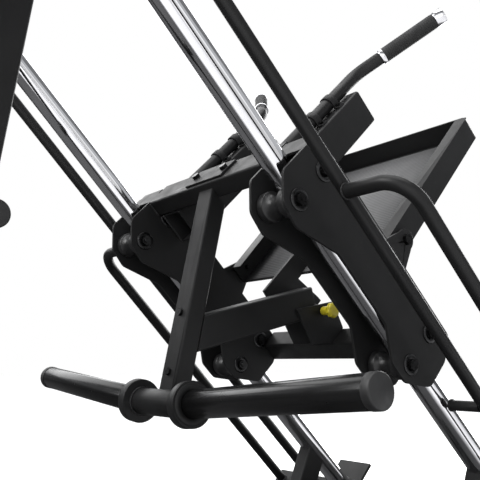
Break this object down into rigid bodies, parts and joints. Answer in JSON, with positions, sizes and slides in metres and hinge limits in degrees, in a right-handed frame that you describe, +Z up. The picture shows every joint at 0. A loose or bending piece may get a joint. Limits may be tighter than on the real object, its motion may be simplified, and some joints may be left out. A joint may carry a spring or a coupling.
{
  "type": "hack squat machine",
  "caption": "Plate-loaded hack squat sled on 45 degree chrome rails, with a tilting foot plate, arms, handles and plate horns.",
  "frame": {"origin": "on the floor at the middle of the footprint", "axes": "+X toward the low, user end of the rails; +Y to the machine's far side; +Z up"},
  "size_m": [1.69, 1.0584, 1.3766],
  "materials": {
    "rail_chrome": "polished hard chrome",
    "tube_paint": "satin black powder coat",
    "frame_paint": "satin black powder coat, slightly textured",
    "sled_paint": "satin charcoal powder coat",
    "platform_paint": "raised tread plate, powder coated",
    "foot_rubber": "matt rubber",
    "cap_plastic": "moulded end caps",
    "bolt_steel": "zinc plated fasteners",
    "horn_gloss": "gloss black",
    "bright_trim": "polished",
    "grip_rubber": "ribbed rubber",
    "roller_nylon": "machined nylon",
    "pan_sheet": "satin charcoal powder coat",
    "tread_sheet": "raised tread",
    "pin_steel": "ground",
    "knob_yellow": "gloss yellow"
  },
  "bodies": {
    "frame": {"rail_l": "rail_chrome", "rail_r": "rail_chrome", "guard_tube_l": "tube_paint", "guard_tube_r": "tube_paint", "hand_rail_l": "tube_paint", "hand_rail_r": "tube_paint", "top_beam": "frame_paint", "low_beam": "frame_paint", "rail_brackets": "frame_paint", "mast": "frame_paint", "storage_horns": "frame_paint", "base_spine": "frame_paint", "rear_foot": "frame_paint", "front_foot": "frame_paint", "middle_foot": "frame_paint", "front_legs": "frame_paint", "tread_platform": "platform_paint", "platform_post": "frame_paint", "rubber_feet": "foot_rubber", "tube_caps": "cap_plastic", "stop_pegs": "frame_paint", "frame_bolts": "bolt_steel"},
    "sled": {"outer_plate_l": "sled_paint", "outer_plate_r": "sled_paint", "inner_plate_l": "sled_paint", "inner_plate_r": "sled_paint", "side_covers": "sled_paint", "pivot_lugs": "sled_paint", "upper_beam": "sled_paint", "lower_beam": "sled_paint", "centre_post": "sled_paint", "post_flange": "sled_paint", "stay_beam": "sled_paint", "stay_brackets": "sled_paint", "horn_hub": "sled_paint", "horn_collars": "sled_paint", "horn_l": "horn_gloss", "horn_r": "horn_gloss", "arm_l": "sled_paint", "arm_r": "sled_paint", "handle_l": "tube_paint", "handle_r": "tube_paint", "grips": "grip_rubber", "handle_trim": "bright_trim", "saddle_clamps": "sled_paint", "sled_bolts": "bolt_steel", "axle_bolts": "bolt_steel"},
    "wheel_up_under_l": {"roller_up_under_l": "roller_nylon"},
    "wheel_up_under_r": {"roller_up_under_r": "roller_nylon"},
    "wheel_up_over_l": {"roller_up_over_l": "roller_nylon"},
    "wheel_up_over_r": {"roller_up_over_r": "roller_nylon"},
    "wheel_low_under_l": {"roller_low_under_l": "roller_nylon"},
    "wheel_low_under_r": {"roller_low_under_r": "roller_nylon"},
    "wheel_low_over_l": {"roller_low_over_l": "roller_nylon"},
    "wheel_low_over_r": {"roller_low_over_r": "roller_nylon"},
    "foot_plate": {"foot_pan": "pan_sheet", "foot_tread": "tread_sheet", "tilt_sector": "sled_paint"},
    "pin": {"pull_pin": "pin_steel", "pin_knob": "knob_yellow"}
  },
  "joints": [
    {"name": "sled_slide", "type": "slide", "parent": "frame", "child": "sled", "axis": [-0.7071, 0, 0.7071], "range_m": [-0.069, 0.4]},
    {"name": "spin_up_under_l", "type": "hinge", "parent": "sled", "child": "wheel_up_under_l", "pos_m": [-0.2246, -0.253, 0.8821], "axis": [0, 1, 0], "range_deg": [-1300, 1300]},
    {"name": "spin_up_under_r", "type": "hinge", "parent": "sled", "child": "wheel_up_under_r", "pos_m": [-0.2246, 0.253, 0.8821], "axis": [0, 1, 0], "range_deg": [-1300, 1300]},
    {"name": "spin_up_over_l", "type": "hinge", "parent": "sled", "child": "wheel_up_over_l", "pos_m": [-0.16478, -0.253, 0.94192], "axis": [0, 1, 0], "range_deg": [-1300, 1300]},
    {"name": "spin_up_over_r", "type": "hinge", "parent": "sled", "child": "wheel_up_over_r", "pos_m": [-0.16478, 0.253, 0.94192], "axis": [0, 1, 0], "range_deg": [-1300, 1300]},
    {"name": "spin_low_under_l", "type": "hinge", "parent": "sled", "child": "wheel_low_under_l", "pos_m": [0.04763, -0.253, 0.60986], "axis": [0, 1, 0], "range_deg": [-1300, 1300]},
    {"name": "spin_low_under_r", "type": "hinge", "parent": "sled", "child": "wheel_low_under_r", "pos_m": [0.04763, 0.253, 0.60986], "axis": [0, 1, 0], "range_deg": [-1300, 1300]},
    {"name": "spin_low_over_l", "type": "hinge", "parent": "sled", "child": "wheel_low_over_l", "pos_m": [0.10745, -0.253, 0.66968], "axis": [0, 1, 0], "range_deg": [-1300, 1300]},
    {"name": "spin_low_over_r", "type": "hinge", "parent": "sled", "child": "wheel_low_over_r", "pos_m": [0.10745, 0.253, 0.66968], "axis": [0, 1, 0], "range_deg": [-1300, 1300]},
    {"name": "foot_tilt", "type": "hinge", "parent": "sled", "child": "foot_plate", "pos_m": [0.09734, 0, 0.85473], "axis": [0, -1, 0], "range_deg": [-3.5, 24]},
    {"name": "pin_pull", "type": "slide", "parent": "sled", "child": "pin", "axis": [0, -1, 0], "range_m": [0, 0.012], "stiffness_N_per_m": 600, "springref_m": -0.01}
  ],
  "couplings": [
    {"joint": "spin_up_under_l", "follows": "sled_slide", "rad_per_m": 55.556},
    {"joint": "spin_up_under_r", "follows": "sled_slide", "rad_per_m": 55.556},
    {"joint": "spin_up_over_l", "follows": "sled_slide", "rad_per_m": -55.556},
    {"joint": "spin_up_over_r", "follows": "sled_slide", "rad_per_m": -55.556},
    {"joint": "spin_low_under_l", "follows": "sled_slide", "rad_per_m": 55.556},
    {"joint": "spin_low_under_r", "follows": "sled_slide", "rad_per_m": 55.556},
    {"joint": "spin_low_over_l", "follows": "sled_slide", "rad_per_m": -55.556},
    {"joint": "spin_low_over_r", "follows": "sled_slide", "rad_per_m": -55.556}
  ]
}
